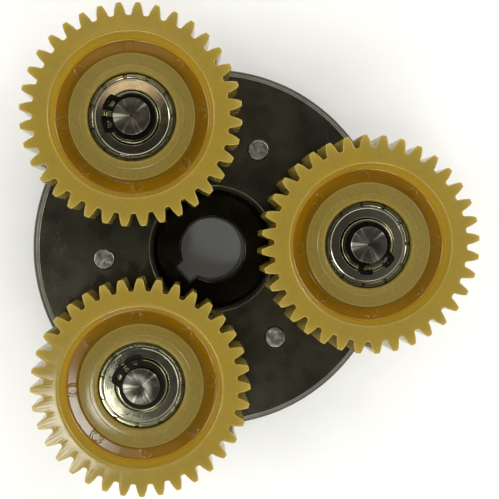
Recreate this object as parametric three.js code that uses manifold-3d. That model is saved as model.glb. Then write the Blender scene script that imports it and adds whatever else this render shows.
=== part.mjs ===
// Planet carrier of a geared hub motor, with its one-way roller clutch.
// Millimetres. +Z runs along the carrier axis from the rear cover to the planets.
// The origin is on the carrier axis at the rear face.
import * as THREE from 'three';
import { mergeVertices } from 'three/addons/utils/BufferGeometryUtils.js';
import Module from 'manifold-3d';

const wasm = await Module();
wasm.setup();

const turn = 2 * Math.PI;
const degree = Math.PI / 180;

// Planet gears
const planetCount = 3;
const teeth = 36;
const gearModule = 1.25;
const pressureAngle = 20 * degree;
const pitchRadius = teeth * gearModule / 2;
const tipRadius = 23.7;
const rootRadius = 20.95;
const gearWidth = 12;
const sunTeeth = 18;
const pinCircleRadius = (teeth + sunTeeth) * gearModule / 2;
const toothPhases = [1.8, 4.4, 8.6].map((angle) => angle * degree);
const rimInnerRadius = 17.55;
const rimFloorRadius = 16.8;
const gearHubRadius = 13.6;
const gearHubFootRadius = 13.95;
const recessDepth = 4;
const gearHubDrop = 2.5;
const gearHubRise = 1;
const gearHubChamfer = 0.4;
const shoulderRadius = 8.3;

// Deep groove ball bearing, 8 x 19 x 6
const bearingBore = 4.1;
const bearingRadius = 9.5;
const bearingWidth = 6;
const bearingDrop = 3.8;
const innerRingRadius = 5.65;
const innerRaceRadius = 5.1;
const outerRingInnerRadius = 7.95;
const outerRaceRadius = 8.5;
const raceHalfWidth = 1.2;
const raceFloorHalfWidth = 0.5;
const ballCount = 7;
const ballRadius = 1.55;
const ballCircleRadius = 6.78;
const cageInnerRadius = 6.15;
const cageOuterRadius = 7.4;
const cageLow = 0.6;
const cageHigh = 1.9;
const shieldSeatRadius = 8.55;
const shieldSeatDepth = 0.8;
const shieldInnerRadius = 5.95;
const shieldOuterRadius = 8.4;
const shieldThickness = 0.3;
const shieldSink = 0.35;

// Stack of the carrier and clutch, from the rear face forwards
const seam = 0.1;
const rearCoverThickness = 2;
const camRingThickness = 8;
const frontPlateThickness = 3;
const camRingBottom = rearCoverThickness + seam;
const camRingTop = camRingBottom + camRingThickness;
const frontPlateBottom = camRingTop + seam;
const frontPlateTop = frontPlateBottom + frontPlateThickness;
const gearClearance = 1.2;
const gearBottom = frontPlateTop + gearClearance;
const gearTop = gearBottom + gearWidth;
const bearingTop = gearTop - bearingDrop;
const bearingBottom = bearingTop - bearingWidth;

// Plates
const rearCoverRadius = 39;
const camRingRadius = 41.7;
const camRingChamfer = 0.8;
const frontPlateRadius = 40.45;
const frontPlateChamfer = 0.8;
const plateOpeningRadius = 13.6;
const plateOpeningChamfer = 1;

// Pins, rivets and circlips
const pinRadius = 4;
const pinHoleRadius = 4.15;
const pinChamfer = 0.2;
const pinHeadDrop = 1.9;
const pinFoot = 0.2;
const grooveRadius = 3.7;
const grooveWidth = 1;
const circlipThickness = 0.8;
const circlipInnerRadius = 3.9;
const circlipOuterRadius = 4.95;
const circlipLugRadius = 6.6;
const circlipLugAngle = 40 * degree;
const circlipShoulderAngle = 48 * degree;
const circlipGaps = [2.8, 1.1, 1.2];
const circlipEyeRadius = 0.65;
const circlipEyeCircle = 5.3;
const circlipEyeAngle = 26 * degree;
const circlipTurns = [292, 171, 131].map((angle) => angle * degree);
const contactGap = 0.05;
const spacerRadius = 5.3;
const rivetCount = 3;
const rivetCircleRadius = 25;
const rivetTurn = 63.5 * degree;
const rivetRadius = 2.3;
const rivetHoleRadius = 2.42;
const rivetRise = 0.45;
const rivetFoot = 0.1;

// Keyed clutch hub
const hubBossRadius = 12.45;
const hubTrackRadius = 16;
const hubBore = 7.3;
const hubBoreChamfer = 0.35;
const hubDrop = 0.2;
const hubTrackGap = 0.4;
const keywayWidth = 5;
const keywayReach = 9.1;
const keywayTurn = 220 * degree;

// Rollers, their pockets and springs
const rollerCount = 6;
const rollerTurn = 30 * degree;
const rollerRadius = 2.5;
const rollerGap = 0.15;
const rollerEndGap = 0.3;
const rollerCircleRadius = hubTrackRadius + rollerRadius + rollerGap;
const camBoreRadius = 16.6;
const rampAngle = 8 * degree;
const pocketHalfWidth = 3.2;
const springChannelLength = 4.8;
const springChannelHalfWidth = 1.5;
const springWireRadius = 0.22;
const springCoilRadius = 1;
const springCoils = 4;
const springEndGap = 0.25;

// How far a cutting solid reaches past the face that it cuts
const overcut = 1;

// Roundness of the solids
const plateSides = 60;
const openingSides = 30;
const ringSides = 20;
const smallSides = 16;
const cageSides = 14;
const ballSides = 6;
const ballRings = 4;
const clipArcSegments = 8;
const coilSteps = 6;
const wireArcSegments = 2;
const weldDistance = 1e-4;

const nylon = { color: 0xa08640, roughness: 0.45, metalness: 0 };
const blackSteel = { color: 0x33322a, roughness: 0.5, metalness: 0.8 };
const hubSteel = { color: 0x2a2820, roughness: 0.55, metalness: 0.8 };
const rivetSteel = { color: 0x6a6a60, roughness: 0.5, metalness: 0.9 };
const pinSteel = { color: 0x6e6a5c, roughness: 0.35, metalness: 1 };
const bearingSteel = { color: 0x8a8778, roughness: 0.25, metalness: 1 };
const shieldSteel = { color: 0xa39a88, roughness: 0.35, metalness: 1 };
const springSteel = { color: 0x9a9a98, roughness: 0.35, metalness: 1 };
const clipSteel = { color: 0x15140f, roughness: 0.4, metalness: 0.7 };
const cageBrass = { color: 0x9b8d62, roughness: 0.4, metalness: 0.8 };

function toSolid(geometry) {
  const bare = geometry.clone();
  bare.deleteAttribute('normal');
  bare.deleteAttribute('uv');
  const merged = mergeVertices(bare, weldDistance);
  const mesh = new wasm.Mesh({
    numProp: 3,
    vertProperties: new Float32Array(merged.attributes.position.array),
    triVerts: new Uint32Array(merged.index.array),
  });
  return new wasm.Manifold(mesh);
}

function toGeometry(solid) {
  const mesh = solid.getMesh();
  const geometry = new THREE.BufferGeometry();
  geometry.setAttribute('position', new THREE.BufferAttribute(mesh.vertProperties, 3));
  geometry.setIndex(new THREE.BufferAttribute(mesh.triVerts, 1));
  geometry.computeVertexNormals();
  return geometry;
}

// A solid of revolution about Z. The profile lists [radius, z] counterclockwise, and
// either starts and ends on the axis or closes on itself.
function revolve(profile, sides) {
  const points = profile.map(([radius, z]) => new THREE.Vector2(radius, z));
  const startsOffAxis = profile[0][0] > 0;
  if (startsOffAxis) points.push(points[0].clone());
  const geometry = new THREE.LatheGeometry(points, sides);
  geometry.rotateX(Math.PI / 2);
  return toSolid(geometry);
}

function ring(inner, outer, low, high, sides) {
  return revolve([[inner, low], [outer, low], [outer, high], [inner, high]], sides);
}

function cylinder(radius, low, high, sides) {
  return revolve([[0, low], [radius, low], [radius, high], [0, high]], sides);
}

// A straight prism of an outline drawn in the XY plane.
function prism(shape, low, high) {
  const settings = { depth: high - low, bevelEnabled: false, curveSegments: clipArcSegments };
  const geometry = new THREE.ExtrudeGeometry(shape, settings);
  geometry.translate(0, 0, low);
  return toSolid(geometry);
}

function polar(radius, angle) {
  return [radius * Math.cos(angle), radius * Math.sin(angle)];
}

function around(solid, radius, angle) {
  const [x, y] = polar(radius, angle);
  return solid.translate([x, y, 0]);
}

function involute(angle) {
  return Math.tan(angle) - angle;
}

// Half the angle that a tooth covers at a given radius.
function toothHalfAngle(radius) {
  const baseRadius = pitchRadius * Math.cos(pressureAngle);
  const slope = Math.acos(Math.min(1, baseRadius / radius));
  return Math.PI / (2 * teeth) + involute(pressureAngle) - involute(slope);
}

function gearOutline() {
  const radii = [rootRadius, pitchRadius, tipRadius];
  const points = [];
  for (let tooth = 0; tooth < teeth; tooth += 1) {
    const centre = tooth * turn / teeth;
    const rising = radii.map((radius) => polar(radius, centre - toothHalfAngle(radius)));
    const falling = radii.map((radius) => polar(radius, centre + toothHalfAngle(radius)));
    points.push(...rising, ...falling.reverse());
  }
  return new THREE.Shape(points.map(([x, y]) => new THREE.Vector2(x, y)));
}

function planetGear() {
  const hubTop = gearTop - gearHubDrop;
  const hubBottom = gearBottom + gearHubRise;
  const frontFloor = gearTop - recessDepth;
  const rearFloor = gearBottom + recessDepth;
  const seatRadius = bearingRadius + seam;
  const frontRecess = revolve([
    [0, hubTop], [gearHubRadius, hubTop], [gearHubFootRadius, frontFloor],
    [rimFloorRadius, frontFloor], [rimInnerRadius, gearTop], [rimInnerRadius, gearTop + overcut],
    [0, gearTop + overcut],
  ], openingSides);
  const rearRecess = revolve([
    [0, gearBottom - overcut], [rimInnerRadius, gearBottom - overcut], [rimInnerRadius, gearBottom],
    [rimFloorRadius, rearFloor], [gearHubFootRadius, rearFloor], [gearHubRadius, hubBottom],
    [0, hubBottom],
  ], openingSides);
  const bore = revolve([
    [0, gearBottom], [shoulderRadius, gearBottom], [shoulderRadius, bearingBottom - contactGap],
    [seatRadius, bearingBottom - contactGap], [seatRadius, hubTop - gearHubChamfer],
    [seatRadius + gearHubChamfer, hubTop], [seatRadius + gearHubChamfer, hubTop + overcut],
    [0, hubTop + overcut],
  ], openingSides);
  return prism(gearOutline(), gearBottom, gearTop)
    .subtract(frontRecess)
    .subtract(rearRecess)
    .subtract(bore);
}

function innerRing() {
  const middle = (bearingTop + bearingBottom) / 2;
  return revolve([
    [bearingBore, bearingBottom], [innerRingRadius, bearingBottom],
    [innerRingRadius, middle - raceHalfWidth], [innerRaceRadius, middle - raceFloorHalfWidth],
    [innerRaceRadius, middle + raceFloorHalfWidth], [innerRingRadius, middle + raceHalfWidth],
    [innerRingRadius, bearingTop], [bearingBore, bearingTop],
  ], smallSides);
}

function outerRing() {
  const middle = (bearingTop + bearingBottom) / 2;
  return revolve([
    [shieldSeatRadius, bearingBottom], [bearingRadius, bearingBottom],
    [bearingRadius, bearingTop], [shieldSeatRadius, bearingTop],
    [shieldSeatRadius, bearingTop - shieldSeatDepth],
    [outerRingInnerRadius, bearingTop - shieldSeatDepth],
    [outerRingInnerRadius, middle + raceHalfWidth], [outerRaceRadius, middle + raceFloorHalfWidth],
    [outerRaceRadius, middle - raceFloorHalfWidth], [outerRingInnerRadius, middle - raceHalfWidth],
    [outerRingInnerRadius, bearingBottom + shieldSeatDepth],
    [shieldSeatRadius, bearingBottom + shieldSeatDepth],
  ], ringSides);
}

// The balls and the cage that spaces them, which orbit the pin together.
function ballSet() {
  const middle = (bearingTop + bearingBottom) / 2;
  const ball = new THREE.SphereGeometry(ballRadius, ballSides, ballRings);
  ball.rotateX(Math.PI / 2);
  const ballSolid = toSolid(ball).translate([0, 0, middle]);
  let set = ring(cageInnerRadius, cageOuterRadius, middle + cageLow, middle + cageHigh, cageSides);
  for (let index = 0; index < ballCount; index += 1) {
    set = set.add(around(ballSolid, ballCircleRadius, index * turn / ballCount));
  }
  return set;
}

function shield(low) {
  return ring(shieldInnerRadius, shieldOuterRadius, low, low + shieldThickness, smallSides);
}

// A shaft circlip whose gap points along +X. It stands open by the gap.
function circlip(gap) {
  const low = bearingTop + contactGap;
  const halfGap = gap / 2;
  const gapAngle = (radius) => Math.asin(halfGap / radius);
  const shape = new THREE.Shape();
  shape.moveTo(...polar(circlipLugRadius, gapAngle(circlipLugRadius)));
  shape.absarc(0, 0, circlipLugRadius, gapAngle(circlipLugRadius), circlipLugAngle, false);
  shape.absarc(0, 0, circlipOuterRadius, circlipShoulderAngle, turn - circlipShoulderAngle, false);
  shape.absarc(0, 0, circlipLugRadius, -circlipLugAngle, -gapAngle(circlipLugRadius), false);
  shape.absarc(0, 0, circlipInnerRadius, -gapAngle(circlipInnerRadius),
    gapAngle(circlipInnerRadius) - turn, true);
  for (const side of [-1, 1]) {
    const [x, y] = polar(circlipEyeCircle, side * circlipEyeAngle);
    const eye = new THREE.Path();
    eye.absarc(x, y, circlipEyeRadius, 0, turn, false);
    shape.holes.push(eye);
  }
  return prism(shape, low, low + circlipThickness);
}

function planetPin() {
  const top = gearTop - pinHeadDrop;
  const grooveLow = bearingTop - contactGap;
  const grooveHigh = grooveLow + grooveWidth;
  return revolve([
    [0, pinFoot], [pinRadius, pinFoot], [pinRadius, grooveLow], [grooveRadius, grooveLow],
    [grooveRadius, grooveHigh], [pinRadius, grooveHigh], [pinRadius, top - pinChamfer],
    [pinRadius - pinChamfer, top], [0, top],
  ], smallSides);
}

function spacer() {
  return ring(bearingBore, spacerRadius, frontPlateTop + contactGap,
    bearingBottom - contactGap, smallSides);
}

// Cuts the holes for the planet pins and the rivets out of a plate.
function drill(plate, low, high) {
  const pinHole = cylinder(pinHoleRadius, low, high, smallSides);
  const rivetHole = cylinder(rivetHoleRadius, low, high, smallSides);
  let drilled = plate;
  for (let index = 0; index < planetCount; index += 1) {
    drilled = drilled.subtract(around(pinHole, pinCircleRadius, index * turn / planetCount));
  }
  for (let index = 0; index < rivetCount; index += 1) {
    const angle = rivetTurn + index * turn / rivetCount;
    drilled = drilled.subtract(around(rivetHole, rivetCircleRadius, angle));
  }
  return drilled;
}

function rearCover() {
  const blank = ring(plateOpeningRadius, rearCoverRadius, 0, rearCoverThickness, plateSides);
  return drill(blank, -overcut, rearCoverThickness + overcut);
}

function frontPlate() {
  const blank = revolve([
    [plateOpeningRadius, frontPlateBottom], [frontPlateRadius, frontPlateBottom],
    [frontPlateRadius, frontPlateTop - frontPlateChamfer],
    [frontPlateRadius - frontPlateChamfer, frontPlateTop],
    [plateOpeningRadius + plateOpeningChamfer, frontPlateTop],
    [plateOpeningRadius, frontPlateTop - plateOpeningChamfer],
  ], plateSides);
  return drill(blank, frontPlateBottom - overcut, frontPlateTop + overcut);
}

// One roller pocket with its ramp and spring channel, opening towards the hub at angle 0.
function pocketOutline() {
  const rampHeight = rollerCircleRadius + rollerRadius + seam;
  const rampFall = pocketHalfWidth * Math.tan(rampAngle);
  const channelEnd = -pocketHalfWidth - springChannelLength;
  const channelLow = rollerCircleRadius - springChannelHalfWidth;
  const channelHigh = rollerCircleRadius + springChannelHalfWidth;
  const mouth = hubTrackRadius - overcut;
  const corners = [
    [-pocketHalfWidth, mouth], [pocketHalfWidth, mouth], [pocketHalfWidth, rampHeight - rampFall],
    [-pocketHalfWidth, rampHeight + rampFall], [-pocketHalfWidth, channelHigh],
    [channelEnd, channelHigh], [channelEnd, channelLow], [-pocketHalfWidth, channelLow],
  ];
  return new THREE.Shape(corners.map(([x, y]) => new THREE.Vector2(x, y)));
}

function camRing() {
  const blank = revolve([
    [camBoreRadius, camRingBottom], [camRingRadius - camRingChamfer, camRingBottom],
    [camRingRadius, camRingBottom + camRingChamfer], [camRingRadius, camRingTop - camRingChamfer],
    [camRingRadius - camRingChamfer, camRingTop], [camBoreRadius, camRingTop],
  ], plateSides);
  const low = camRingBottom - overcut;
  const high = camRingTop + overcut;
  const pocket = prism(pocketOutline(), low, high);
  let cut = drill(blank, low, high);
  for (let index = 0; index < rollerCount; index += 1) {
    const angle = rollerTurn + index * turn / rollerCount - turn / 4;
    cut = cut.subtract(pocket.rotate([0, 0, angle / degree]));
  }
  return cut;
}

function clutchHub() {
  const top = frontPlateTop - hubDrop;
  const trackLow = camRingBottom + hubTrackGap;
  const trackHigh = camRingTop - hubTrackGap;
  const blank = revolve([
    [hubBore + hubBoreChamfer, hubDrop], [hubBossRadius, hubDrop], [hubBossRadius, trackLow],
    [hubTrackRadius, trackLow], [hubTrackRadius, trackHigh], [hubBossRadius, trackHigh],
    [hubBossRadius, top], [hubBore + hubBoreChamfer, top], [hubBore, top - hubBoreChamfer],
    [hubBore, hubDrop + hubBoreChamfer],
  ], openingSides);
  const keyway = new THREE.BoxGeometry(keywayReach, keywayWidth, frontPlateTop + overcut);
  keyway.translate(keywayReach / 2, 0, frontPlateTop / 2);
  keyway.rotateZ(keywayTurn);
  return blank.subtract(toSolid(keyway));
}

function roller() {
  return cylinder(rollerRadius, camRingBottom + rollerEndGap, camRingTop - rollerEndGap, smallSides);
}

function rivet() {
  const top = frontPlateTop + rivetRise;
  return revolve([
    [0, rivetFoot], [rivetRadius, rivetFoot], [rivetRadius, top - rivetRise / 2],
    [rivetRadius - rivetRise / 2, top], [0, top],
  ], smallSides);
}

class Helix extends THREE.Curve {
  constructor(radius, length, coils) {
    super();
    this.radius = radius;
    this.length = length;
    this.coils = coils;
  }

  getPoint(fraction, target = new THREE.Vector3()) {
    const angle = fraction * this.coils * turn;
    const [y, z] = polar(this.radius, angle);
    return target.set(fraction * this.length, y, z);
  }
}

// A compression spring lying in the spring channel of the pocket at angle 90 degrees.
function spring() {
  const start = -pocketHalfWidth - springChannelLength + springWireRadius + springEndGap;
  const end = -rollerRadius - springWireRadius - springEndGap;
  const path = new Helix(springCoilRadius, end - start, springCoils);
  const wire = new THREE.Shape();
  wire.absarc(0, 0, springWireRadius, 0, turn, false);
  const settings = { extrudePath: path, steps: springCoils * coilSteps, curveSegments: wireArcSegments };
  const geometry = new THREE.ExtrudeGeometry(wire, settings);
  geometry.translate(start, rollerCircleRadius, (camRingBottom + camRingTop) / 2);
  return toSolid(geometry);
}

const gearbox = new THREE.Group();

function place(parent, name, solid, finish) {
  const mesh = new THREE.Mesh(toGeometry(solid), new THREE.MeshStandardMaterial(finish));
  mesh.name = name;
  parent.add(mesh);
  return mesh;
}

function addClutch() {
  place(gearbox, 'rear_cover', rearCover(), blackSteel);
  place(gearbox, 'cam_ring', camRing(), blackSteel);
  place(gearbox, 'front_plate', frontPlate(), blackSteel);
  place(gearbox, 'clutch_hub', clutchHub(), hubSteel);
  for (let index = 0; index < rivetCount; index += 1) {
    const mesh = place(gearbox, `rivet_${index + 1}`, rivet(), rivetSteel);
    const [x, y] = polar(rivetCircleRadius, rivetTurn + index * turn / rivetCount);
    mesh.position.set(x, y, 0);
  }
  for (let index = 0; index < rollerCount; index += 1) {
    const angle = rollerTurn + index * turn / rollerCount;
    const rollerMesh = place(gearbox, `roller_${index + 1}`, roller(), pinSteel);
    const [x, y] = polar(rollerCircleRadius, angle);
    rollerMesh.position.set(x, y, 0);
    const springMesh = place(gearbox, `roller_spring_${index + 1}`, spring(), springSteel);
    springMesh.rotation.z = angle - turn / 4;
  }
}

function addPlanet(index) {
  const number = index + 1;
  const planet = new THREE.Group();
  const [x, y] = polar(pinCircleRadius, index * turn / planetCount);
  planet.position.set(x, y, 0);
  gearbox.add(planet);

  const gear = place(planet, `planet_gear_${number}`, planetGear(), nylon);
  gear.rotation.z = toothPhases[index];
  place(planet, `planet_pin_${number}`, planetPin(), pinSteel);
  place(planet, `spacer_${number}`, spacer(), pinSteel);
  place(planet, `inner_ring_${number}`, innerRing(), bearingSteel);
  place(planet, `outer_ring_${number}`, outerRing(), bearingSteel);
  place(planet, `ball_set_${number}`, ballSet(), cageBrass);
  const frontShieldLow = bearingTop - shieldSink - shieldThickness;
  place(planet, `front_shield_${number}`, shield(frontShieldLow), shieldSteel);
  place(planet, `rear_shield_${number}`, shield(bearingBottom + shieldSink), shieldSteel);
  const clip = place(planet, `circlip_${number}`, circlip(circlipGaps[index]), clipSteel);
  clip.rotation.z = circlipTurns[index];
}

addClutch();
for (let index = 0; index < planetCount; index += 1) addPlanet(index);

export default gearbox;
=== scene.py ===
"""The looks of the planet carrier: turned, stamped and moulded pieces built round the CAD frame.

Each piece is drawn in millimetres about its own axis, with z counted from the rear face of the
carrier, and is then put in metres where the frame says.
"""
import math

import bmesh
import bpy
from mathutils import Matrix, Vector, noise


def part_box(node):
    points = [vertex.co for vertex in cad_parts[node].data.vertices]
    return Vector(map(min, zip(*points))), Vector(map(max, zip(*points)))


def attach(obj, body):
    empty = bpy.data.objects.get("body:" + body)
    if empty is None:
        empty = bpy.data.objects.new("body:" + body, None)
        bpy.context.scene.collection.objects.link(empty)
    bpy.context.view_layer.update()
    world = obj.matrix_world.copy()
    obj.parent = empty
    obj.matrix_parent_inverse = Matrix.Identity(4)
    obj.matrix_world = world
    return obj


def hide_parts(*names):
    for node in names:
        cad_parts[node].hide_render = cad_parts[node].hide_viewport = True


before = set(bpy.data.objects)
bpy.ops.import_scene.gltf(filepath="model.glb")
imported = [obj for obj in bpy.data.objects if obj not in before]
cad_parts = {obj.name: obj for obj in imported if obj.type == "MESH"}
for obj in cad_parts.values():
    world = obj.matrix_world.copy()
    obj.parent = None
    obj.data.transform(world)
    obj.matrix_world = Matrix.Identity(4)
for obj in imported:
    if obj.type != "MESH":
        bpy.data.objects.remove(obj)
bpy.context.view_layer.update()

MM = 0.001
TURN = 2 * math.pi


# ---------------------------------------------------------------- places read from the frame
def low(node):
    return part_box(node)[0] / MM


def high(node):
    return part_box(node)[1] / MM


def axis_of(node):
    """Where the node's own axis meets the rear plane, in millimetres."""
    middle = (low(node) + high(node)) / 2
    return Vector((middle.x, middle.y, 0))


THREE = (1, 2, 3)
ROLLERS = range(1, 7)

CARRIER_AXIS = axis_of("clutch_hub")
PLATE_TOP = high("front_plate").z
PLATE_BOTTOM = low("front_plate").z
RING_TOP = high("cam_ring").z
RING_BOTTOM = low("cam_ring").z
COVER_TOP = high("rear_cover").z
COVER_BOTTOM = low("rear_cover").z
HUB_TOP = high("clutch_hub").z
HUB_BOTTOM = low("clutch_hub").z
GEAR_TOP = high("planet_gear_1").z
GEAR_BOTTOM = low("planet_gear_1").z
BEARING_TOP = high("outer_ring_1").z
BEARING_BOTTOM = low("outer_ring_1").z
SHIELD_TOP = high("front_shield_1").z
SHIELD_BOTTOM = low("rear_shield_1").z
CLIP_TOP = high("circlip_1").z
CLIP_BOTTOM = low("circlip_1").z
PIN_TOP = high("planet_pin_1").z
PIN_BOTTOM = low("planet_pin_1").z
SPACER_TOP = high("spacer_1").z
SPACER_BOTTOM = low("spacer_1").z
RIVET_TOP = high("rivet_1").z
RIVET_BOTTOM = low("rivet_1").z

# ---------------------------------------------------------------- sizes, in millimetres
TEETH = 36
PITCH_RADIUS = 22.5
TIP_RADIUS = 23.66
ROOT_RADIUS = 20.95
ROOT_FILLET = 0.5
TIP_FILLET = 0.24
TOOTH_EDGE = 0.17
EDGE_STEPS = 3
FLANK_RADII = (21.5, 22.1, 22.7, 23.2)
PRESSURE_ANGLE = math.radians(20)
TOOTH_PHASES = {1: math.radians(1.8), 2: math.radians(4.4), 3: math.radians(8.6)}
RIM_INNER = 17.55
RIM_FLOOR = 16.8
RIM_FLAT = 18.6
GEAR_HUB = 13.6
GEAR_HUB_FOOT = 13.95
GEAR_HUB_STEP = 11.3
RECESS_DEPTH = 4.0
RECESS_FLOOR = GEAR_TOP - RECESS_DEPTH
GEAR_HUB_TOP = GEAR_TOP - 2.5
GEAR_HUB_BOTTOM = GEAR_BOTTOM + 1.0
SEAT_RADIUS = 9.58
SHOULDER_RADIUS = 8.3
MARK_COUNT = 8
MARK_CIRCLE = 15.15
MARK_RING = 1.45
MARK_DISC = 0.95
MARK_RISE = 0.05
MARK_SINK = 0.07
MARK_MESH = 0.12
FIRST_MARK = math.radians(2)
SEAT_CHAMFER = 0.35
SEAT_CHAMFER_DEPTH = 0.45
HUB_STEP_WIDTH = 0.15
HUB_STEP_DROP = 0.12
FOOT_FILLET = 0.45
FLOOR_FILLET = 0.7

BEARING_RADIUS = 9.5
BEARING_BORE = 4.1
SHIELD_SEAT = 8.47
SHIELD_SEAT_LOW = 2.2
RACE_RADIUS = 7.95
RACE_FLOOR = 8.5
INNER_RING = 5.65
INNER_RACE = 5.1
RACE_HALF_WIDTH = 1.2
RACE_FLOOR_HALF_WIDTH = 0.5
LIP_INNER = 8.6
LIP_OUTER = 9.22
LIP_HALF_WIDTH = 3.0
OUTER_EDGE_HALF_WIDTH = 2.72
SLIT_COUNT = 11
SLIT_SEGMENTS = 24
SLIT_HALF_WIDTH = 0.3
SLIT_DEPTH = 0.7
SHIELD_HOLE = 5.95
SHIELD_RIM = 8.4
SHIELD_STEP = 0.07
SHIELD_SHEET = 0.3

CLIP_INNER = 3.9
CLIP_SIDE = 4.95
CLIP_BACK = 5.15
CLIP_LUG = 6.65
CLIP_HALF_GAPS = {1: 1.4, 2: 0.55, 3: 0.6}
CLIP_LUG_END = math.radians(40)
CLIP_SHOULDER = math.radians(50)
CLIP_BACK_START = CLIP_SHOULDER + 0.15
CLIP_EDGE = 0.07
CLIP_EYE = 0.78
CLIP_EYE_CIRCLE = 5.3
CLIP_EYE_ANGLE = math.radians(26)
CLIP_TURNS = {1: math.radians(292), 2: math.radians(171), 3: math.radians(131)}

PIN_RADIUS = 4.0
PIN_HOLE = 4.15
PIN_FOOT_CHAMFER = 0.3
PIN_EDGE = 0.12
CENTRE_MARK = 0.3
CENTRE_DEPTH = 0.6
GROOVE_RADIUS = 3.7
GROOVE_WIDTH = 1
SPACER_RADIUS = 5.3
RIVET_RADIUS = 2.32
RIVET_HOLE = 2.44
RIVET_UNEVEN = 0.16
RIVET_OUT_OF_ROUND = 0.03
RIVET_MESH = 0.2
HOLE_FLARE = 0.35

PLATE_RADIUS = 40.45
PLATE_CHAMFER = 0.8
RING_RADIUS = 41.68
RING_CHAMFER = 0.8
COVER_RADIUS = 39.0
OPENING_RADIUS = 13.6
OPENING_CHAMFER = 1.0
CAM_BORE = 16.6

HUB_BOSS = 12.45
HUB_TRACK = 16.0
TRACK_GAP = 0.4
HUB_BORE = 7.3
BORE_CHAMFER = 0.35
KEY_HALF_WIDTH = 2.5
KEY_REACH = 9.1
KEY_CLEAR = HUB_BORE + 2.6
KEY_TURN = math.radians(220)

ROLLER_CIRCLE = 18.65
ROLLER_RADIUS = 2.5
POCKET_HALF_WIDTH = 3.2
POCKET_RAMP = math.radians(8)
CHANNEL_LENGTH = 4.8
CHANNEL_HALF_WIDTH = 1.5


# ---------------------------------------------------------------- outlines
def polar(radius, angle):
    return Vector((radius * math.cos(angle), radius * math.sin(angle)))


def arc(radius, start, end, count):
    return [polar(radius, start + (end - start) * i / count) for i in range(count + 1)]


def rounded(corners, closed, steps=4):
    """A profile of corners (x, y, fillet radius), with the fillets drawn as arcs."""
    points = []
    count = len(corners)
    for index, (x, y, radius) in enumerate(corners):
        here = Vector((x, y))
        if radius == 0 or (not closed and index in (0, count - 1)):
            points.append(here)
            continue
        before = (Vector(corners[index - 1][:2]) - here).normalized()
        after = (Vector(corners[(index + 1) % count][:2]) - here).normalized()
        half = before.angle(after) / 2
        centre = here + (before + after).normalized() * (radius / math.sin(half))
        start = here + before * (radius / math.tan(half)) - centre
        end = here + after * (radius / math.tan(half)) - centre
        first = math.atan2(start.y, start.x)
        sweep = math.remainder(math.atan2(end.y, end.x) - first, TURN)
        for step in range(steps + 1):
            points.append(centre + polar(radius, first + sweep * step / steps))
    return points


def inset(points, distance):
    """A counterclockwise outline moved inwards along its own normals."""
    moved = []
    for index, point in enumerate(points):
        along = points[(index + 1) % len(points)] - points[index - 1]
        moved.append(point + Vector((-along.y, along.x)).normalized() * distance)
    return moved


def divided(profile, z, step):
    """The profile with points added along its flat stretch at height z."""
    points = [profile[0]]
    for point in profile[1:]:
        last = points[-1]
        if abs(point.y - z) < step / 10 and abs(last.y - z) < step / 10:
            pieces = math.ceil((point - last).length / step)
            points += [last.lerp(point, i / pieces) for i in range(1, pieces)]
        points.append(point)
    return points


# ---------------------------------------------------------------- meshes
def mesh_object(name, vertices, faces):
    mesh = bpy.data.meshes.new(name)
    mesh.from_pydata([Vector(v) * MM for v in vertices], [], faces)
    thing = bpy.data.objects.new(name, mesh)
    bpy.context.scene.collection.objects.link(thing)
    return thing


def evaluated_mesh(thing):
    bpy.context.view_layer.update()
    graph = bpy.context.evaluated_depsgraph_get()
    return bpy.data.meshes.new_from_object(thing.evaluated_get(graph))


def smooth(thing, sharp_degrees=32):
    """Joins loose seams, turns the normals outwards and shades round everything but sharp edges."""
    body = bmesh.new()
    body.from_mesh(thing.data)
    bmesh.ops.remove_doubles(body, verts=body.verts, dist=1e-7)
    bmesh.ops.recalc_face_normals(body, faces=body.faces)
    for face in body.faces:
        face.smooth = True
    body.to_mesh(thing.data)
    body.free()
    thing.data.set_sharp_from_angle(angle=math.radians(sharp_degrees))
    normals = thing.modifiers.new("normals", "WEIGHTED_NORMAL")
    normals.keep_sharp = True
    return thing


def skin(name, rings, closed):
    """Quads between neighbouring rings of equal length. An open skin gets flat ends."""
    size = len(rings[0])
    vertices = [point for ring in rings for point in ring]
    faces = []
    for row in range(len(rings) if closed else len(rings) - 1):
        here = row * size
        there = ((row + 1) % len(rings)) * size
        for column in range(size):
            beside = (column + 1) % size
            faces.append((here + column, here + beside, there + beside, there + column))
    if not closed:
        faces.append(tuple(range(size)))
        faces.append(tuple(range(len(vertices) - size, len(vertices))))
    return mesh_object(name, vertices, faces)


def turned(name, profile, segments=144, closed=True, shape=None):
    """A solid of revolution. shape may move each point, given as radius, angle and z."""
    rings = []
    for radius, z in profile:
        ring = []
        for index in range(segments):
            angle = TURN * index / segments
            r, h = (radius, z) if shape is None else shape(radius, angle, z)
            ring.append((*polar(r, angle), h))
        rings.append(ring)
    return skin(name, rings, closed)


def extruded(name, outline, holes, bottom, top):
    """A flat piece of any outline, filled by a two-dimensional curve."""
    curve = bpy.data.curves.new(name + "_outline", "CURVE")
    curve.dimensions = "2D"
    curve.fill_mode = "BOTH"
    curve.extrude = (top - bottom) / 2 * MM
    for points in [outline, *holes]:
        spline = curve.splines.new("POLY")
        spline.points.add(len(points) - 1)
        for target, point in zip(spline.points, points):
            target.co = (point.x * MM, point.y * MM, 0, 1)
        spline.use_cyclic_u = True
    shell = bpy.data.objects.new(name + "_outline", curve)
    bpy.context.scene.collection.objects.link(shell)
    mesh = evaluated_mesh(shell)
    mesh.transform(Matrix.Translation((0, 0, (bottom + top) / 2 * MM)))
    bpy.data.objects.remove(shell)
    thing = bpy.data.objects.new(name, mesh)
    bpy.context.scene.collection.objects.link(thing)
    return thing


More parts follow.
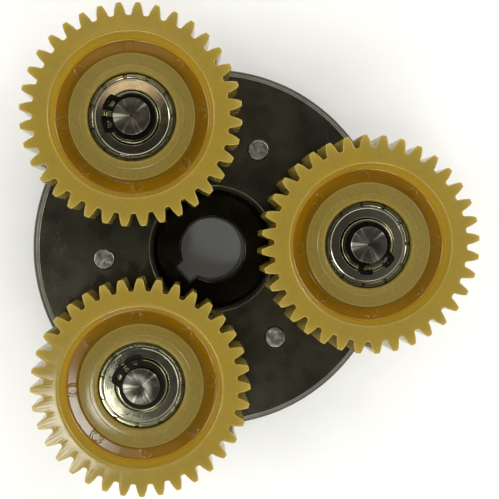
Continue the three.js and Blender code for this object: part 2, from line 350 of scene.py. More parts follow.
def cut(thing, cutters):
    """Takes the cutters out of a piece and clears them away."""
    for cutter in cutters:
        boolean = thing.modifiers.new("cut", "BOOLEAN")
        boolean.object = cutter
        boolean.operation = "DIFFERENCE"
        boolean.solver = "EXACT"
    thing.data = evaluated_mesh(thing)
    thing.modifiers.clear()
    for cutter in cutters:
        bpy.data.objects.remove(cutter)
    return thing


def spun(thing, angle):
    """Turns a piece's mesh about its own axis, so that its box stays tight."""
    thing.data.transform(Matrix.Rotation(angle, 4, "Z"))
    return thing


def bevelled(thing, width, segments=2):
    bevel = thing.modifiers.new("edges", "BEVEL")
    bevel.width = width * MM
    bevel.segments = segments
    bevel.limit_method = "ANGLE"
    bevel.angle_limit = math.radians(50)
    return thing


def install(thing, where, body, nodes, material):
    """Puts a finished piece in its place, gives it its material, hangs it on its body and hides the
    CAD nodes it stands for.
    """
    thing.location = where * MM
    thing.data.materials.clear()
    thing.data.materials.append(material)
    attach(thing, body)
    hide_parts(*nodes)
    return thing


# ---------------------------------------------------------------- materials
class Look:
    """A material, its Principled shader, and short calls for the nodes that feed it."""

    def __init__(self, name, **constants):
        self.material = bpy.data.materials.new(name)
        self.material.use_nodes = True
        self.tree = self.material.node_tree
        self.shader = self.tree.nodes["Principled BSDF"]
        for key, value in constants.items():
            self.shader.inputs[key.replace("_", " ")].default_value = value
        self.place = self.add("ShaderNodeTexCoord").outputs["Object"]
        self.normal = None

    def add(self, kind, inputs=(), **settings):
        node = self.tree.nodes.new(kind)
        for key, value in settings.items():
            setattr(node, key, value)
        for key, value in dict(inputs).items():
            if isinstance(value, bpy.types.NodeSocket):
                self.tree.links.new(value, node.inputs[key])
            else:
                node.inputs[key].default_value = value
        return node

    def math(self, operation, a, b=0.0):
        return self.add("ShaderNodeMath", {0: a, 1: b}, operation=operation).outputs[0]

    def vector(self, operation, a, b=(0, 0, 0)):
        node = self.add("ShaderNodeVectorMath", {0: a, 1: b}, operation=operation)
        return node.outputs["Value" if operation == "LENGTH" else "Vector"]

    def flat(self):
        return self.vector("MULTIPLY", self.place, (1, 1, 0))

    def radius(self):
        return self.vector("LENGTH", self.flat())

    def noise(self, scale, detail=3.0, vector=None):
        inputs = {"Vector": vector or self.place, "Scale": scale, "Detail": detail}
        return self.add("ShaderNodeTexNoise", inputs).outputs["Fac"]

    def spokes(self, count, scale=1.0):
        """Streaks that run out from the axis."""
        heading = self.vector("NORMALIZE", self.flat())
        around = self.vector("SCALE", heading)
        around.node.inputs["Scale"].default_value = count
        along = self.vector("SCALE", self.flat())
        along.node.inputs["Scale"].default_value = 60.0
        return self.noise(scale, 2.0, self.vector("ADD", around, along))

    def rings(self, scale):
        """Fine concentric lines about the axis."""
        line = self.add("ShaderNodeCombineXYZ", {0: self.radius()}).outputs[0]
        return self.noise(scale, 3.0, line)

    def ramp(self, value, start, end, first=0.0, last=1.0):
        """A smooth step from first to last as value goes from start to end."""
        inputs = {"Value": value, "From Min": start, "From Max": end,
                  "To Min": first, "To Max": last}
        node = self.add("ShaderNodeMapRange", inputs, interpolation_type="SMOOTHSTEP")
        return node.outputs["Result"]

    def band(self, value, middle, half_width):
        """1 at middle, falling to 0 a half width away on either side."""
        away = self.math("ABSOLUTE", self.math("SUBTRACT", value, middle))
        return self.ramp(away, 0.0, half_width, 1.0, 0.0)

    def mix(self, factor, first, second):
        node = self.add("ShaderNodeMix", (), data_type="RGBA")
        sockets = [socket for socket in node.inputs if socket.enabled]
        for socket, value in zip(sockets, (factor, first, second)):
            if isinstance(value, bpy.types.NodeSocket):
                self.tree.links.new(value, socket)
            else:
                socket.default_value = value if isinstance(value, float) else (*value, 1)
        return [socket for socket in node.outputs if socket.enabled][0]

    def feed(self, name, value):
        self.tree.links.new(value, self.shader.inputs[name])

    def bump(self, value, strength, depth):
        """Adds a bump layer, depth in millimetres, over those before it."""
        inputs = {"Height": value, "Strength": strength, "Distance": depth * MM}
        if self.normal is not None:
            inputs["Normal"] = self.normal
        self.normal = self.add("ShaderNodeBump", inputs).outputs["Normal"]
        self.feed("Normal", self.normal)

    def scratches(self, angle, along, across, start, end):
        """Fine straight scratches along one direction."""
        inputs = {"Vector": self.place, "Angle": angle}
        node = self.add("ShaderNodeVectorRotate", inputs, rotation_type="Z_AXIS")
        stretched = self.vector("MULTIPLY", node.outputs[0], (along, across, 60))
        return self.ramp(self.noise(1.0, 2.0, stretched), start, end)


NYLON_LIGHT = (0.262, 0.180, 0.025)
NYLON_PALE = (0.240, 0.172, 0.031)
NYLON_HUB = (0.185, 0.138, 0.032)
# Recess floor colour: a deeper amber painted as the glow of light passing through the thin web.
NYLON_GLOW_AMBER = (0.285, 0.146, 0.0002)
NYLON_GRAIN = (0.320, 0.230, 0.026)
# Paler tooth tips: painted light scattered through the thin teeth.
NYLON_TIP_GLOW = (0.290, 0.222, 0.050)
# Recess wall colour: a brighter painted glow of light passing through the nylon.
NYLON_GLOW_WALL = (0.430, 0.250, 0.002)


def amber_nylon():
    look = Look("amber_nylon", IOR=1.5, Subsurface_Weight=0.5,
                Subsurface_Radius=(0.9, 0.8, 0.3), Subsurface_Scale=0.0035)
    radius = look.radius()
    # The recess floor and wall get a painted glow of light shining through the thin web.
    inside = look.ramp(radius, (GEAR_HUB - 0.1) * MM, (GEAR_HUB_FOOT + 0.5) * MM)
    outside = look.ramp(radius, (RIM_INNER - 1.0) * MM, (RIM_INNER + 0.05) * MM, 1.0, 0.0)
    recess = look.math("MULTIPLY", inside, outside)
    cloud = look.ramp(look.noise(150.0, 2.0), 0.35, 0.7)
    body = look.mix(cloud, NYLON_LIGHT, NYLON_PALE)
    # Paler towards the tooth tips: painted light scattered through the teeth.
    tips = look.ramp(radius, ROOT_RADIUS * MM, TIP_RADIUS * MM)
    body = look.mix(tips, body, NYLON_TIP_GLOW)
    grain = look.ramp(look.noise(1900.0, 3.0), 0.35, 0.7, 0.0, 0.28)
    hub = look.ramp(radius, (GEAR_HUB - 0.4) * MM, GEAR_HUB * MM, 1.0, 0.0)
    pale = look.mix(grain, look.mix(hub, body, NYLON_HUB), NYLON_GRAIN)
    # Towards the rim wall the painted through-light glow is brighter still.
    wall = look.ramp(radius, (RIM_FLOOR - 0.4) * MM, (RIM_FLOOR + 0.1) * MM)
    amber = look.mix(wall, NYLON_GLOW_AMBER, NYLON_GLOW_WALL)
    look.feed("Base Color", look.mix(recess, pale, amber))
    look.feed("Roughness", look.ramp(look.noise(420.0, 2.0), 0.3, 0.75, 0.10, 0.16))
    look.bump(look.spokes(7.0), 0.2, 0.035)
    look.bump(look.noise(220.0, 1.0), 0.2, 0.015)
    look.bump(look.noise(2600.0, 3.0), 0.2, 0.003)
    return look.material


# Colour of the bright marks: scratches, specks, and edge bands that are partly painted highlight.
WORN_AND_HIGHLIT_STEEL = (0.30, 0.29, 0.255)
SPECKS_FROM = 28
SPECKS_FULL = 38
SPECK_STRENGTH = 0.45
SCRATCH_STRENGTH = 0.07


def oxide_steel(name, dark, light, rubbed_and_highlit_edges, bright_edge_strength, gloss=0.5):
    """Black oxided steel, given a list of the radii and half widths of edges painted bright: partly
    rubbed wear, partly painted highlight on the chamfers.

    Small bright specks lie near the outer edge, and fine scratches everywhere.
    """
    look = Look(name, Metallic=0.9, IOR=1.5, Specular_IOR_Level=gloss)
    radius = look.radius()
    base = look.mix(look.ramp(look.noise(60.0, 4.0), 0.35, 0.65), dark, light)
    specks = look.math("MULTIPLY", look.ramp(look.noise(1100.0, 3.0), 0.60, 0.70),
                       look.ramp(look.noise(75.0, 1.0), 0.45, 0.65))
    specks = look.math("MULTIPLY", specks,
                       look.ramp(radius, SPECKS_FROM * MM, SPECKS_FULL * MM))
    scratched = look.scratches(0.4, 90.0, 2600.0, 0.66, 0.76)
    for angle in (1.5, 2.4):
        more = look.scratches(angle, 70.0, 2200.0, 0.68, 0.78)
        scratched = look.math("MAXIMUM", scratched, more)
    marks = look.math("MAXIMUM", look.math("MULTIPLY", scratched, SCRATCH_STRENGTH),
                      look.math("MULTIPLY", specks, SPECK_STRENGTH))
    # Bright edge bands: partly rubbed wear, partly painted highlight on the chamfer edges.
    edge_patches = look.ramp(look.noise(380.0, 4.0), 0.3, 0.62, 0.15, bright_edge_strength)
    for bright_edge_radius, half_width in rubbed_and_highlit_edges:
        edge = look.band(radius, bright_edge_radius * MM, half_width * MM)
        marks = look.math("MAXIMUM", marks, look.math("MULTIPLY", edge, edge_patches))
    look.feed("Base Color", look.mix(marks, base, WORN_AND_HIGHLIT_STEEL))
    rough = look.ramp(look.noise(200.0, 4.0), 0.3, 0.7, 0.24, 0.34)
    look.feed("Roughness", look.math("SUBTRACT", rough, look.math("MULTIPLY", marks, 0.15)))
    look.bump(look.noise(130.0, 3.0), 0.2, 0.025)
    look.bump(look.noise(1600.0, 3.0), 0.3, 0.015)
    look.bump(scratched, -0.25, 0.01)
    return look.material


def bright_steel(name, colour, rough, grain, grain_depth):
    look = Look(name, Metallic=1.0)
    shade = look.ramp(look.noise(380.0, 3.0), 0.3, 0.7)
    look.feed("Base Color", look.mix(shade, tuple(c * 0.86 for c in colour), colour))
    rough_noise = look.noise(700.0, 2.0)
    look.feed("Roughness", look.ramp(rough_noise, 0.3, 0.7, rough * 0.8, rough * 1.25))
    look.bump(look.noise(grain, 3.0), 0.5, grain_depth)
    return look.material


def turned_steel(name, colour, rough, scale):
    """Lathe-cut steel with circular tool marks about its own axis, and radial streaks painted in as
    highlights.
    """
    look = Look(name, Metallic=1.0, Anisotropic=0.85)
    lines = look.rings(scale)
    base = look.mix(lines, tuple(c * 0.4 for c in colour), tuple(c * 0.7 for c in colour))
    # Radial streaks lighten the base colour: painted highlights.
    glints = look.ramp(look.spokes(2.2), 0.52, 0.66)
    look.feed("Base Color", look.mix(glints, base, tuple(c * 2.8 for c in colour)))
    look.feed("Roughness", look.ramp(look.noise(300.0, 2.0), 0.3, 0.7, rough * 0.8, rough * 1.3))
    look.bump(lines, 0.5, 0.008)
    tangent = look.add("ShaderNodeTangent", (), direction_type="RADIAL", axis="Z")
    look.feed("Tangent", tangent.outputs[0])
    return look.material


NYLON = amber_nylon()
# The listed plate, ring and hub edges get bright bands: partly wear, partly painted highlight.
PLATE_STEEL = oxide_steel(
    "black_plate_steel", (0.056, 0.053, 0.036), (0.090, 0.080, 0.054),
    [(PLATE_RADIUS - PLATE_CHAMFER, 0.16), (PLATE_RADIUS - 0.18, 0.15),
     (OPENING_RADIUS + OPENING_CHAMFER, 0.14), (OPENING_RADIUS + 0.16, 0.13)], 0.55)
RING_STEEL = oxide_steel(
    "black_ring_steel", (0.030, 0.028, 0.020), (0.048, 0.043, 0.031),
    [(RING_RADIUS - RING_CHAMFER, 0.12), (RING_RADIUS - 0.15, 0.12)], 0.45)
HUB_STEEL = oxide_steel(
    "dark_hub_steel", (0.010, 0.0085, 0.0035), (0.018, 0.0145, 0.006),
    [(HUB_BORE + BORE_CHAMFER, 0.10)], 0.5, 0.25)
RIVET_STEEL = bright_steel("peened_rivet_steel", (0.28, 0.28, 0.24), 0.38, 900.0, 0.12)
BEARING_STEEL = bright_steel("polished_bearing_steel", (0.36, 0.35, 0.21), 0.14, 2500.0, 0.001)
SHIELD_STEEL = bright_steel("pressed_shield_steel", (0.56, 0.52, 0.375), 0.09, 4000.0, 0.0014)
CLIP_STEEL = bright_steel("phosphated_clip_steel", (0.016, 0.015, 0.012), 0.36, 1200.0, 0.02)
SPRING_STEEL = bright_steel("spring_wire", (0.50, 0.49, 0.46), 0.3, 2400.0, 0.01)
CAGE_STEEL = bright_steel("cage_steel", (0.45, 0.40, 0.28), 0.3, 1800.0, 0.01)
PIN_STEEL = turned_steel("turned_pin_steel", (0.235, 0.222, 0.18), 0.27, 9000.0)
ROLLER_STEEL = turned_steel("ground_roller_steel", (0.50, 0.49, 0.45), 0.22, 14000.0)


# ---------------------------------------------------------------- planet gears
def involute(angle):
    return math.tan(angle) - angle


def tooth_half_angle(radius):
    base = PITCH_RADIUS * math.cos(PRESSURE_ANGLE)
    slope = math.acos(min(1.0, base / radius))
    return math.pi / (2 * TEETH) + involute(PRESSURE_ANGLE) - involute(slope)


def gear_outline():
    """Half a tooth from the middle of a gap to its tip, mirrored and repeated round the gear."""
    half_pitch = math.pi / TEETH
    fillets = {ROOT_RADIUS: ROOT_FILLET, TIP_RADIUS: TIP_FILLET}
    corners = [(*polar(ROOT_RADIUS, -half_pitch), 0)]
    for radius in (ROOT_RADIUS, *FLANK_RADII, TIP_RADIUS):
        corners.append((*polar(radius, -tooth_half_angle(radius)), fillets.get(radius, 0)))
    corners.append((*polar(TIP_RADIUS, 0), 0))
    rising = rounded(corners, False, 3)
    falling = [Vector((point.x, -point.y)) for point in reversed(rising[1:-1])]
    points = []
    for tooth in range(TEETH):
        spin = Matrix.Rotation(TURN * tooth / TEETH, 3, "Z")
        points += [(spin @ point.to_3d()).to_2d() for point in rising + falling]
    return points


def edge_round(edge):
    """How far in and how far down the points of a quarter-round edge lie."""
    angles = [TURN / 4 * step / EDGE_STEPS for step in range(EDGE_STEPS + 1)]
    return [(edge * (1 - math.sin(a)), edge * (1 - math.cos(a))) for a in angles]


def planet_gear(number):
    outline = gear_outline()
    angles = [math.atan2(point.y, point.x) for point in outline]
    first_mark = FIRST_MARK - TOOTH_PHASES[number]
    marks = [polar(MARK_CIRCLE, first_mark + TURN * i / MARK_COUNT) for i in range(MARK_COUNT)]

    def lift(point):
        """The height of the round ejector marks above the recess floor."""
        away = min((point - mark).length for mark in marks)
        return -MARK_SINK if away < MARK_DISC else MARK_RISE if away < MARK_RING else 0.0

    def round_loop(radius, z):
        loop = [polar(radius, angle) for angle in angles]
        on_floor = GEAR_HUB_FOOT < radius < RIM_FLOOR and z > GEAR_BOTTOM + RECESS_DEPTH
        return [(*point, z + (lift(point) if on_floor else 0)) for point in loop]

    def tooth_loop(distance, z):
        return [(*point, z) for point in inset(outline, distance)]

    front = rounded([
        (SEAT_RADIUS, BEARING_BOTTOM, 0),
        (SEAT_RADIUS, GEAR_HUB_TOP - SEAT_CHAMFER_DEPTH, 0.1),
        (SEAT_RADIUS + SEAT_CHAMFER, GEAR_HUB_TOP, 0.15),
        (GEAR_HUB_STEP - HUB_STEP_WIDTH, GEAR_HUB_TOP, 0.08),
        (GEAR_HUB_STEP, GEAR_HUB_TOP - HUB_STEP_DROP, 0.08),
        (GEAR_HUB, GEAR_HUB_TOP - HUB_STEP_DROP, 0.35),
        (GEAR_HUB_FOOT, RECESS_FLOOR, FOOT_FILLET), (RIM_FLOOR, RECESS_FLOOR, FLOOR_FILLET),
        (RIM_INNER, GEAR_TOP, 0.28), (RIM_FLAT, GEAR_TOP, 0),
    ], False)
    rear_floor = GEAR_BOTTOM + RECESS_DEPTH
    rear = rounded([
        (RIM_FLAT, GEAR_BOTTOM, 0), (RIM_INNER, GEAR_BOTTOM, 0.25),
        (RIM_FLOOR, rear_floor, FLOOR_FILLET), (GEAR_HUB_FOOT, rear_floor, FOOT_FILLET),
        (GEAR_HUB, GEAR_HUB_BOTTOM, 0.3),
        (SHOULDER_RADIUS, GEAR_HUB_BOTTOM, 0.2), (SHOULDER_RADIUS, BEARING_BOTTOM, 0),
    ], False)
    edge = edge_round(TOOTH_EDGE)
    loops = [round_loop(*point) for point in divided(front, RECESS_FLOOR, MARK_MESH)]
    loops += [tooth_loop(inwards, GEAR_TOP - down) for inwards, down in edge]
    loops += [tooth_loop(inwards, GEAR_BOTTOM + down) for inwards, down in reversed(edge)]
    loops += [round_loop(*point) for point in rear]
    gear = smooth(skin(f"moulded_gear_{number}", loops, True))
    return spun(gear, TOOTH_PHASES[number])


# ---------------------------------------------------------------- bearings, clips and pins
def outer_ring(number):
    """The bearing's outer ring, with a rolled lip and small slits where the shield is held."""
    middle = (BEARING_TOP + BEARING_BOTTOM) / 2
    half = [(RACE_FLOOR, RACE_FLOOR_HALF_WIDTH, 0), (RACE_RADIUS, RACE_HALF_WIDTH, 0.05),
            (RACE_RADIUS, SHIELD_SEAT_LOW, 0.05), (SHIELD_SEAT, SHIELD_SEAT_LOW, 0.05),
            (SHIELD_SEAT, LIP_HALF_WIDTH - 0.1, 0.04), (LIP_INNER, LIP_HALF_WIDTH, 0.04),
            (LIP_OUTER, LIP_HALF_WIDTH, 0.05), (BEARING_RADIUS, OUTER_EDGE_HALF_WIDTH, 0.08)]
    lower = [(r, middle - z, fillet) for r, z, fillet in half]
    upper = [(r, middle + z, fillet) for r, z, fillet in reversed(half)]
    pitch = TURN / SLIT_COUNT

    def slits(radius, angle, z):
        away = abs(math.remainder(angle, pitch)) * radius
        near_lip = radius < LIP_INNER + 0.1 or radius > LIP_OUTER - 0.07
        in_slit = near_lip and z > middle + 2.6 and away < SLIT_HALF_WIDTH
        return radius, z - (SLIT_DEPTH if in_slit else 0)

    profile = rounded(lower + upper, True, 3)
    return smooth(turned(f"bearing_outer_ring_{number}", profile, SLIT_SEGMENTS * SLIT_COUNT, True,
                         slits))


def inner_ring(number):
    middle = (BEARING_TOP + BEARING_BOTTOM) / 2
    profile = rounded([
        (BEARING_BORE, BEARING_BOTTOM, 0.15), (INNER_RING, BEARING_BOTTOM, 0.2),
        (INNER_RING, middle - RACE_HALF_WIDTH, 0.05),
        (INNER_RACE, middle - RACE_FLOOR_HALF_WIDTH, 0.3),
        (INNER_RACE, middle + RACE_FLOOR_HALF_WIDTH, 0.3),
        (INNER_RING, middle + RACE_HALF_WIDTH, 0.05), (INNER_RING, BEARING_TOP, 0.2),
        (BEARING_BORE, BEARING_TOP, 0.15),
    ], True, 3)
    return smooth(turned(f"bearing_inner_ring_{number}", profile, 96))


def shield(name, outside, side):
    """A pressed shield with a curled rim. side is 1 for the front and -1 for the rear."""
    corners = [(SHIELD_HOLE, -SHIELD_SHEET, 0), (SHIELD_HOLE, -0.12, 0.08), (6.12, 0, 0.08),
               (7.95, 0, 0.08), (8.08, SHIELD_STEP, 0.05), (SHIELD_RIM, SHIELD_STEP, 0.06),
               (SHIELD_RIM, -SHIELD_SHEET, 0)]
    profile = [Vector((p.x, outside + side * p.y)) for p in rounded(corners, False, 3)]
    return smooth(turned(name, profile, 120))


def circlip(number):
    """A shaft circlip with two lugs, their plier eyes, and a ring that swells towards its back."""
    half_gap = CLIP_HALF_GAPS[number]
    start = math.asin(half_gap / CLIP_LUG)
    half = [(math.sqrt(CLIP_INNER ** 2 - half_gap ** 2), half_gap, 0),
            (*polar(CLIP_LUG, start), 0.45)]
    half += [(*point, 0) for point in arc(CLIP_LUG, start, CLIP_LUG_END, 6)[2:-1]]
    half += [(*polar(CLIP_LUG, CLIP_LUG_END), 0.6), (*polar(CLIP_SIDE, CLIP_SHOULDER), 0.5),
             (*polar(CLIP_SIDE, CLIP_BACK_START), 0)]
    upper = rounded(half, False, 5)
    lower = [Vector((point.x, -point.y)) for point in reversed(upper)]
    back = []
    for point in arc(1, CLIP_BACK_START, TURN - CLIP_BACK_START, 40)[1:-1]:
        back.append(point * (CLIP_SIDE + (CLIP_BACK - CLIP_SIDE) * (1 - point.x) / 2))
    gap = math.asin(half_gap / CLIP_INNER)
    bore = arc(CLIP_INNER, TURN - gap, gap, 60)[1:-1]
    eyes = []
    for side in (-1, 1):
        centre = polar(CLIP_EYE_CIRCLE, side * CLIP_EYE_ANGLE)
        eyes.append([centre + point for point in arc(CLIP_EYE, 0, TURN, 24)[:-1]])
    clip = extruded(f"shaft_circlip_{number}", upper + back + lower + bore, eyes,
                    CLIP_BOTTOM, CLIP_TOP)
    smooth(clip, 40)
    bevelled(clip, CLIP_EDGE)
    clip.modifiers.move(1, 0)
    return spun(clip, CLIP_TURNS[number])


def planet_pin(number):
    """A pin with a circlip groove, a small chamfer and the centre mark left by the lathe."""
    groove_low = CLIP_BOTTOM - 0.1
    profile = rounded([
        (0.2, PIN_BOTTOM, 0), (PIN_RADIUS - PIN_FOOT_CHAMFER, PIN_BOTTOM, 0.05),
        (PIN_RADIUS, PIN_BOTTOM + PIN_FOOT_CHAMFER, 0.05), (PIN_RADIUS, groove_low, 0.03),
        (GROOVE_RADIUS, groove_low, 0.03), (GROOVE_RADIUS, groove_low + GROOVE_WIDTH, 0.03),
        (PIN_RADIUS, groove_low + GROOVE_WIDTH, 0.03), (PIN_RADIUS, PIN_TOP - PIN_EDGE, 0.03),
        (PIN_RADIUS - PIN_EDGE, PIN_TOP, 0.03), (CENTRE_MARK, PIN_TOP, 0.03),
        (0.1, PIN_TOP - CENTRE_DEPTH, 0),
    ], False, 3)
    return smooth(turned(f"turned_pin_{number}", profile, 96, False))


def spacer(number):
    profile = rounded([
        (BEARING_BORE, SPACER_BOTTOM, 0.1), (SPACER_RADIUS, SPACER_BOTTOM, 0.2),
        (SPACER_RADIUS, SPACER_TOP, 0.2), (BEARING_BORE, SPACER_TOP, 0.1)], True, 3)
    return smooth(turned(f"turned_spacer_{number}", profile, 72))


# ---------------------------------------------------------------- plates, ring and hub
def hole_cutters(bottom, top):
    """Cutters for the pin and rivet holes of a plate, flared a little at both faces."""
    places = [(axis_of(f"planet_pin_{n}"), PIN_HOLE) for n in THREE]
    places += [(axis_of(f"rivet_{n}"), RIVET_HOLE) for n in THREE]
    cutters = []
    for where, radius in places:
        profile = [(radius + HOLE_FLARE, bottom - 0.2), (radius, bottom + 0.15),
                   (radius, top - 0.15), (radius + HOLE_FLARE, top + 0.2)]
        cutter = turned("hole", profile, 72, False)
        cutter.data.transform(Matrix.Translation((where - CARRIER_AXIS) * MM))
        cutters.append(cutter)
    return cutters


def plate(name, corners, bottom, top, cutters=()):
    blank = turned(name, rounded(corners, True, 3), 360)
    return smooth(cut(smooth(blank), [*hole_cutters(bottom, top), *cutters]))


def front_plate():
    return plate("pressed_front_plate", [
        (OPENING_RADIUS, PLATE_BOTTOM, 0.1), (PLATE_RADIUS, PLATE_BOTTOM, 0.1),
        (PLATE_RADIUS, PLATE_TOP - PLATE_CHAMFER, 0.14),
        (PLATE_RADIUS - PLATE_CHAMFER, PLATE_TOP, 0.14),
        (OPENING_RADIUS + OPENING_CHAMFER, PLATE_TOP, 0.14),
        (OPENING_RADIUS, PLATE_TOP - OPENING_CHAMFER, 0.14),
    ], PLATE_BOTTOM, PLATE_TOP)


def rear_cover():
    return plate("pressed_rear_cover", [
        (OPENING_RADIUS, COVER_BOTTOM, 0.25), (COVER_RADIUS, COVER_BOTTOM, 0.35),
        (COVER_RADIUS, COVER_TOP, 0.1), (OPENING_RADIUS, COVER_TOP, 0.1),
    ], COVER_BOTTOM, COVER_TOP)


def roller_pocket(number):
    """One roller pocket of the cam ring, with its ramp and spring channel."""
    ramp_high = ROLLER_CIRCLE + ROLLER_RADIUS + 0.1
    ramp_fall = POCKET_HALF_WIDTH * math.tan(POCKET_RAMP)
    channel_end = -POCKET_HALF_WIDTH - CHANNEL_LENGTH
    corners = [
        (-POCKET_HALF_WIDTH, CAM_BORE - 2), (POCKET_HALF_WIDTH, CAM_BORE - 2),
        (POCKET_HALF_WIDTH, ramp_high - ramp_fall), (-POCKET_HALF_WIDTH, ramp_high + ramp_fall),
        (-POCKET_HALF_WIDTH, ROLLER_CIRCLE + CHANNEL_HALF_WIDTH),
        (channel_end, ROLLER_CIRCLE + CHANNEL_HALF_WIDTH),
        (channel_end, ROLLER_CIRCLE - CHANNEL_HALF_WIDTH),
        (-POCKET_HALF_WIDTH, ROLLER_CIRCLE - CHANNEL_HALF_WIDTH),
    ]
    centre = axis_of(f"roller_{number}") - CARRIER_AXIS
    loops = [[(x, y, z) for x, y in corners] for z in (RING_BOTTOM - 1, RING_TOP + 1)]
    pocket = skin("pocket", loops, False)
    heading = math.atan2(centre.y, centre.x) - TURN / 4
    pocket.data.transform(Matrix.Rotation(heading, 4, "Z"))
    return smooth(pocket)


def cam_ring():
    corners = [
        (CAM_BORE, RING_BOTTOM, 0.1), (RING_RADIUS - RING_CHAMFER, RING_BOTTOM, 0.12),
        (RING_RADIUS, RING_BOTTOM + RING_CHAMFER, 0.12),
        (RING_RADIUS, RING_TOP - RING_CHAMFER, 0.12),
        (RING_RADIUS - RING_CHAMFER, RING_TOP, 0.12), (CAM_BORE, RING_TOP, 0.1)]
    pockets = [roller_pocket(number) for number in ROLLERS]
    return plate("ground_cam_ring", corners, RING_BOTTOM, RING_TOP, pockets)


def clutch_hub():
    """The hub: its loops follow the keyed bore inside and run round outside."""
    wall = math.asin(KEY_HALF_WIDTH / HUB_BORE)
    key = [(*polar(HUB_BORE, -wall), 0.2), (KEY_REACH, -KEY_HALF_WIDTH, 0.3),
           (KEY_REACH, KEY_HALF_WIDTH, 0.3), (*polar(HUB_BORE, wall), 0.2)]
    bore_arc = arc(HUB_BORE, wall, TURN - wall, 110)[1:-1]
    before, after = bore_arc[-1], bore_arc[0]
    key_points = rounded([(*before, 0), *key, (*after, 0)], False, 3)[1:-1]
    bore = key_points + bore_arc
    angles = [math.atan2(point.y, point.x) for point in bore]
    track_low = RING_BOTTOM + TRACK_GAP
    track_high = RING_TOP - TRACK_GAP
    outside = rounded([
        (KEY_CLEAR, HUB_TOP, 0), (HUB_BOSS, HUB_TOP, 0.1), (HUB_BOSS, track_high, 0.3),
        (HUB_TRACK, track_high, 0.3), (HUB_TRACK, track_low, 0.3), (HUB_BOSS, track_low, 0.3),
        (HUB_BOSS, HUB_BOTTOM, 0.3), (KEY_CLEAR, HUB_BOTTOM, 0),
    ], False)
    loops = [[(*polar(radius, angle), z) for angle in angles] for radius, z in outside]
    for distance, z in ((BORE_CHAMFER, HUB_BOTTOM), (0, HUB_BOTTOM + BORE_CHAMFER),
                        (0, HUB_TOP - BORE_CHAMFER), (BORE_CHAMFER, HUB_TOP)):
        loops.append([(*point, z) for point in inset(bore, -distance)])
    return spun(smooth(skin("keyed_clutch_hub", loops, True)), KEY_TURN)


def rivet(number):
    """A peened rivet: the head is a little uneven and stands proud of the plate."""
    def peened(radius, angle, z):
        if z < PLATE_TOP:
            return radius, z
        spot = Vector((*polar(radius, angle), 7.0 * number)) * 0.9
        swell = 1 + RIVET_OUT_OF_ROUND * noise.noise(spot * 1.3)
        return radius * swell, z + RIVET_UNEVEN * noise.noise(spot)

    profile = rounded([
        (0.15, RIVET_BOTTOM, 0), (RIVET_RADIUS, RIVET_BOTTOM, 0.3),
        (RIVET_RADIUS, RIVET_TOP - 0.1, 0.3), (RIVET_RADIUS - 0.8, RIVET_TOP - 0.06, 0.4),
        (0.15, RIVET_TOP - 0.08, 0),
    ], False, 5)
    dense = divided(profile, RIVET_TOP - 0.08, RIVET_MESH)
    return smooth(turned(f"peened_rivet_{number}", dense, 64, False, peened))


# ---------------------------------------------------------------- assembly
for number in THREE:
    where = axis_of(f"planet_pin_{number}")
    planet = f"planet_{number}"
    for build, body, node, slot, material in (
        (planet_gear, planet, "planet_gear", "amber_nylon", NYLON),
        (outer_ring, planet, "outer_ring", "bearing_steel", BEARING_STEEL),
        (inner_ring, "carrier", "inner_ring", "bearing_steel", BEARING_STEEL),
        (circlip, "carrier", "circlip", "clip_steel", CLIP_STEEL),
        (planet_pin, "carrier", "planet_pin", "pin_steel", PIN_STEEL),
        (spacer, "carrier", "spacer", "pin_steel", PIN_STEEL),
    ):
        install(build(number), where, body, [f"{node}_{number}"], material)
    front = shield(f"pressed_front_shield_{number}", SHIELD_TOP, 1)
    rear = shield(f"pressed_rear_shield_{number}", SHIELD_BOTTOM, -1)
    install(front, where, planet, [f"front_shield_{number}"], SHIELD_STEEL)
    install(rear, where, planet, [f"rear_shield_{number}"], SHIELD_STEEL)
    install(rivet(number), axis_of(f"rivet_{number}"), "carrier", [f"rivet_{number}"],
            RIVET_STEEL)

for build, body, node, slot, material in (
    (front_plate, "carrier", "front_plate", "black_steel", PLATE_STEEL),
    (cam_ring, "carrier", "cam_ring", "black_steel", RING_STEEL),
    (rear_cover, "carrier", "rear_cover", "black_steel", PLATE_STEEL),
    (clutch_hub, "hub", "clutch_hub", "hub_steel", HUB_STEEL),
):
    install(build(), CARRIER_AXIS, body, [node], material)


def refinish(node, material):
    """Gives a CAD node that stays in view its own material."""
    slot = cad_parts[node].material_slots[0]
    slot.link = "OBJECT"
    slot.material = material


for number in ROLLERS:
    refinish(f"roller_{number}", ROLLER_STEEL)
    refinish(f"roller_spring_{number}", SPRING_STEEL)
for number in THREE:
    refinish(f"ball_set_{number}", CAGE_STEEL)


# ---------------------------------------------------------------- floor, light and camera
X_AXIS = Vector((1, 0, 0))
FLOOR_REACH = 900
FLOOR_GAP = 0.05


def floor():
    """A wide pale sheet with a faint paper grain."""
    look = Look("pale_paper", Roughness=0.9)
    tone = look.ramp(look.noise(40.0, 4.0), 0.3, 0.7)
    look.feed("Base Color", look.mix(tone, (0.86, 0.855, 0.84), (0.90, 0.895, 0.885)))
    look.bump(look.noise(900.0, 3.0), 0.1, 0.02)
    drop = COVER_BOTTOM - FLOOR_GAP
    signs = ((-1, -1), (1, -1), (1, 1), (-1, 1))
    corners = [(FLOOR_REACH * x, FLOOR_REACH * y, drop) for x, y in signs]
    sheet = mesh_object("floor", corners, [(0, 1, 2, 3)])
    sheet.data.materials.append(look.material)


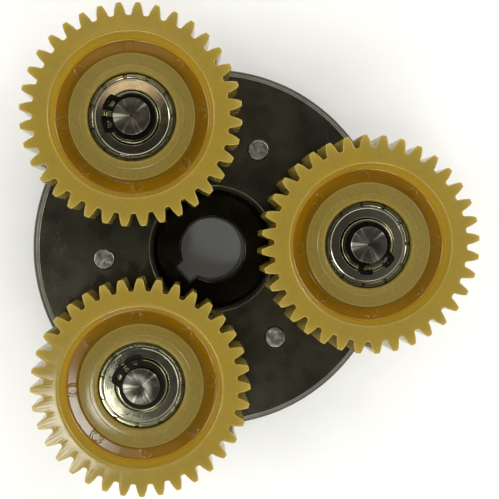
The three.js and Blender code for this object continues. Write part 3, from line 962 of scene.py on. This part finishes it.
def softbox(name, place, target, size, radiance, colour):
    """A round light that faces target. radiance is its glow."""
    data = bpy.data.lights.new(name, "AREA")
    data.shape = "ELLIPSE"
    data.size = size * MM
    data.size_y = size * MM
    data.energy = radiance * math.pi * math.pi * data.size * data.size_y / 4
    data.color = colour
    thing = bpy.data.objects.new(name, data)
    thing.location = (CARRIER_AXIS + Vector(place)) * MM
    back = (Vector(place) - Vector(target)).normalized()
    side = (X_AXIS - back * back.dot(X_AXIS)).normalized()
    thing.rotation_euler = Matrix((side, back.cross(side), back)).transposed().to_euler()
    thing.visible_camera = False
    bpy.context.scene.collection.objects.link(thing)


# How bright the room is, by the sine of the angle off the zenith, and how bright overall.
SKY_STRENGTH = 1.9
SKY = [(0.0, 0.008), (0.08, 0.013), (0.2, 0.032), (0.6, 0.27), (0.97, 1.0)]


def studio():
    world = bpy.data.worlds.new("studio")
    bpy.context.scene.world = world
    world.use_nodes = True
    tree = world.node_tree
    heading = tree.nodes.new("ShaderNodeTexCoord").outputs["Generated"]
    flat = tree.nodes.new("ShaderNodeVectorMath")
    flat.operation = "MULTIPLY"
    flat.inputs[1].default_value = (1, 1, 0)
    tree.links.new(heading, flat.inputs[0])
    off_zenith = tree.nodes.new("ShaderNodeVectorMath")
    off_zenith.operation = "LENGTH"
    tree.links.new(flat.outputs[0], off_zenith.inputs[0])
    sky = tree.nodes.new("ShaderNodeValToRGB")
    tree.links.new(off_zenith.outputs["Value"], sky.inputs[0])
    stops = sky.color_ramp.elements
    for _ in range(3):
        stops.new(0.5)
    for stop, (position, grey) in zip(stops, SKY):
        stop.position = position
        stop.color = (grey, grey, grey * 0.97, 1)
    background = tree.nodes["Background"]
    tree.links.new(sky.outputs[0], background.inputs["Color"])
    background.inputs["Strength"].default_value = SKY_STRENGTH
    softbox("left_light", (-470, 60, 250), (0, 0, 0), 240, 5.2, (1, 0.98, 0.95))
    softbox("right_light", (470, 160, 260), (0, 0, 0), 260, 6.4, (1, 0.99, 0.97))
    softbox("front_light", (60, -480, 250), (0, 0, 0), 240, 5.4, (0.98, 1, 0.99))
    softbox("gloss_light", (-108, -151, 516), (-33, -37, 26), 76, 12.0, (0.96, 1, 0.96))
    softbox("warm_light", (-47, 150, 522), (-17, 29, 26), 72, 1.15, (1, 0.76, 0.52))


CAMERA_PLACE = (-6.36, 3.36, COVER_BOTTOM + 201.5)
CAMERA_TILT = (-2.348, -1.956, -1.808)
CAMERA_LENS = 59.06
CAMERA_SHIFT = (0.0740, 0.0387)


def camera():
    """Straight over the carrier at the photo's distance, a little off level."""
    data = bpy.data.cameras.new("camera")
    data.sensor_width = 36
    data.lens = CAMERA_LENS
    data.shift_x, data.shift_y = CAMERA_SHIFT
    thing = bpy.data.objects.new("camera", data)
    thing.location = (CARRIER_AXIS + Vector(CAMERA_PLACE)) * MM
    thing.rotation_euler = [math.radians(angle) for angle in CAMERA_TILT]
    bpy.context.scene.collection.objects.link(thing)
    bpy.context.scene.camera = thing


floor()
studio()
camera()
bpy.context.scene.view_settings.view_transform = "Standard"
